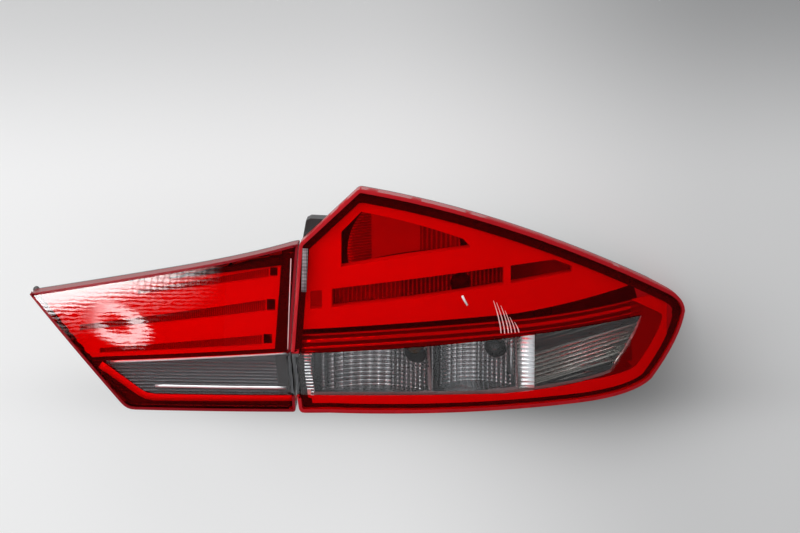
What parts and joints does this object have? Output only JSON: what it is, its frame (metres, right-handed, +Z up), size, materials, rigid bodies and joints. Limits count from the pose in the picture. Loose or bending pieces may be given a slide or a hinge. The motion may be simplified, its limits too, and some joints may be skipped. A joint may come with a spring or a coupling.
{
  "type": "tail light cluster",
  "caption": "Right-hand rear lamp cluster of a saloon car: a wing lamp and a boot-lid lamp with red and clear lenses, reflectors, bulbs, holders, gaskets and studs.",
  "frame": {"origin": "where the axis of the wing lamp's upper stud meets the stud's seat on its boss", "axes": "+X along the car's tail towards the tip of the wing lamp, +Y along the studs into the car, so that the lenses face -Y, +Z up"},
  "size_m": [0.6305, 0.1707, 0.2081],
  "materials": {
    "black_moulding": "matte",
    "black_bezel": "satin",
    "red_lens": "gloss",
    "clear_lens": "gloss",
    "light_panel": "satin",
    "metallised": "metallised",
    "grey_fluted": "satin",
    "clear_bulb": "gloss",
    "amber_bulb": "gloss",
    "steel": "zinc plated",
    "foam": "matte",
    "terminal": "plated"
  },
  "bodies": {
    "root": {"outer_housing": "black_moulding", "outer_lens_red": "red_lens", "outer_lens_clear": "clear_lens", "outer_bezel": "black_bezel", "outer_light_panel": "light_panel", "outer_light_band": "light_panel", "outer_stop_reflector": "metallised", "outer_lower_reflector": "metallised", "outer_reflector_screws": "steel", "outer_gasket": "foam", "outer_studs": "steel", "outer_vent": "black_moulding", "stop_bulb": "clear_bulb", "indicator_bulb": "amber_bulb", "reversing_bulb": "clear_bulb", "stop_holder": "black_moulding", "indicator_holder": "black_moulding", "reversing_holder": "black_moulding", "outer_holder_rings": "foam", "inner_housing": "black_moulding", "inner_lens_red": "red_lens", "inner_lens_clear": "clear_lens", "inner_bezel": "black_bezel", "inner_light_panel": "light_panel", "inner_rib_plate_upper": "metallised", "inner_rib_plate_middle": "metallised", "inner_rib_plate_lower": "metallised", "inner_fluted_panel": "grey_fluted", "inner_reflector": "metallised", "inner_reflector_screws": "steel", "inner_gasket": "foam", "inner_studs": "steel", "inner_vent": "black_moulding", "inner_tail_bulb": "clear_bulb", "inner_tail_holder": "black_moulding", "inner_holder_ring": "foam", "holder_terminals": "terminal"}
  },
  "joints": []
}
